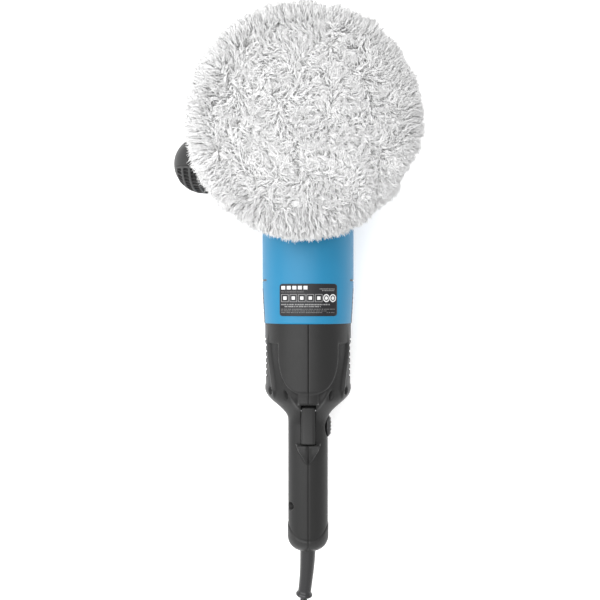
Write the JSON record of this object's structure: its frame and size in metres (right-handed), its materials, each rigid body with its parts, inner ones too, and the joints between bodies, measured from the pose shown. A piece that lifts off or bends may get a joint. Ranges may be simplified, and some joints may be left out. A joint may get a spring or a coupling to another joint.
{
  "type": "rotary polisher",
  "caption": "Corded rotary polisher: blue motor housing, charcoal handle with trigger, screw-in side handle and a wool bonnet on a round backing pad.",
  "frame": {"origin": "where the spindle axis meets the flat back of the gear head, on which the tool rests", "axes": "+Z along the spindle, out of the pad; +Y from the motor towards the gear head; +X to the side of the lock-on button"},
  "size_m": [0.2433, 0.7504, 0.1505],
  "materials": {
    "cast_aluminium": "sand-cast, bead-blasted aluminium",
    "dark_steel": "blackened steel",
    "bearing_steel": "ground bright steel",
    "spring_steel": "drawn spring wire",
    "gear_steel": "hardened steel with a film of grease",
    "core_steel": "stacked electrical steel with varnish",
    "copper_winding": "enamelled copper",
    "brass_holder": "pressed brass",
    "carbon": "pressed carbon",
    "black_rubber": "moulded black rubber",
    "cord_sheath": "matte black flexible sheath",
    "plug_plastic": "moulded black plastic",
    "tie_strap": "woven hook-and-loop strap",
    "blue_housing": "satin blue glass-filled nylon",
    "black_plastic": "fine-textured black plastic",
    "grey_housing": "satin charcoal glass-filled nylon",
    "handle_plastic": "smooth charcoal plastic",
    "grip_rubber": "soft grey overmould",
    "label": "charcoal foil label with pale marks",
    "circuit_board": "solder-masked board",
    "pad_foam": "open-cell foam",
    "white_wool": "long-pile white wool on a woven back",
    "drawcord": "braided white cord"
  },
  "bodies": {
    "housing": {"gear_head": "cast_aluminium", "bearing_plate": "cast_aluminium", "bearing_plate_screws": "dark_steel", "gear_head_screws": "dark_steel", "gear_case_plate": "cast_aluminium", "spindle_bearings": "bearing_steel", "layshaft_bearings": "bearing_steel", "armature_bearings": "bearing_steel", "rear_bearing_sleeve": "black_rubber", "dust_seal": "black_rubber", "motor_housing": "blue_housing", "stator_core": "core_steel", "field_coils": "copper_winding", "stator_screws": "dark_steel", "air_baffle": "black_plastic", "brush_holders": "brass_holder", "carbon_brushes": "carbon", "brush_springs": "spring_steel", "brush_covers": "black_plastic", "rating_label": "label", "handle_shell_left": "grey_housing", "handle_shell_right": "grey_housing", "handle_screws": "dark_steel", "trigger_pin": "bearing_steel", "trigger_spring": "spring_steel", "trigger_switch": "black_plastic", "speed_controller": "circuit_board", "cord_clamp": "black_plastic", "cord_clamp_screws": "dark_steel", "inner_lead": "cord_sheath", "cord_guard": "black_rubber", "power_cord": "cord_sheath", "cord_coil": "cord_sheath", "plug": "plug_plastic", "cord_tie": "tie_strap", "side_handle_core": "handle_plastic", "side_handle_grip": "grip_rubber", "side_handle_inlay": "handle_plastic", "side_handle_stud": "bearing_steel", "lock_spring": "spring_steel"},
    "spindle_set": {"spindle": "bearing_steel", "crown_gear": "gear_steel", "crown_key": "bearing_steel", "spindle_circlip": "dark_steel", "pad_hub": "bearing_steel", "backing_plate": "black_plastic", "foam_pad": "pad_foam", "wool_bonnet": "white_wool", "bonnet_drawcord": "drawcord"},
    "layshaft_set": {"layshaft": "gear_steel", "reduction_gear": "gear_steel"},
    "armature_set": {"armature_shaft": "bearing_steel", "armature_core": "core_steel", "armature_windings": "copper_winding", "commutator": "copper_winding", "cooling_fan": "black_plastic"},
    "trigger": {"trigger": "grey_housing"},
    "lock_on_button": {"lock_on_button": "black_plastic"},
    "spindle_lock": {"spindle_lock": "dark_steel"},
    "speed_dial": {"speed_dial": "black_plastic"}
  },
  "joints": [
    {"name": "spindle_spin", "type": "hinge", "parent": "housing", "child": "spindle_set", "pos_m": [0, 0, 0.1], "axis": [0, 0, 1], "continuous": true},
    {"name": "layshaft_spin", "type": "hinge", "parent": "housing", "child": "layshaft_set", "pos_m": [0, -0.04, 0.066], "axis": [0, 1, 0], "continuous": true},
    {"name": "armature_spin", "type": "hinge", "parent": "housing", "child": "armature_set", "pos_m": [0, -0.12, 0.046], "axis": [0, 1, 0], "continuous": true},
    {"name": "trigger_pull", "type": "hinge", "parent": "housing", "child": "trigger", "pos_m": [0, -0.268, 0.071], "axis": [1, 0, 0], "range_deg": [0, 8], "stiffness_Nm_per_rad": 0.4, "springref_deg": -11.46, "deforming": ["trigger_spring"]},
    {"name": "lock_on_press", "type": "slide", "parent": "housing", "child": "lock_on_button", "axis": [-1, 0, 0], "range_m": [0, 0.003], "stiffness_N_per_m": 400, "springref_m": -0.002},
    {"name": "spindle_lock_press", "type": "slide", "parent": "housing", "child": "spindle_lock", "axis": [0, -1, 0], "range_m": [0, 0.005], "stiffness_N_per_m": 600, "springref_m": -0.003, "deforming": ["lock_spring"]},
    {"name": "speed_dial_turn", "type": "hinge", "parent": "housing", "child": "speed_dial", "pos_m": [0, -0.222, 0.012], "axis": [1, 0, 0], "range_deg": [0, 270]}
  ],
  "couplings": [
    {"joint": "layshaft_spin", "follows": "spindle_spin", "ratio": -2.3636},
    {"joint": "armature_spin", "follows": "spindle_spin", "ratio": 9.4545}
  ]
}
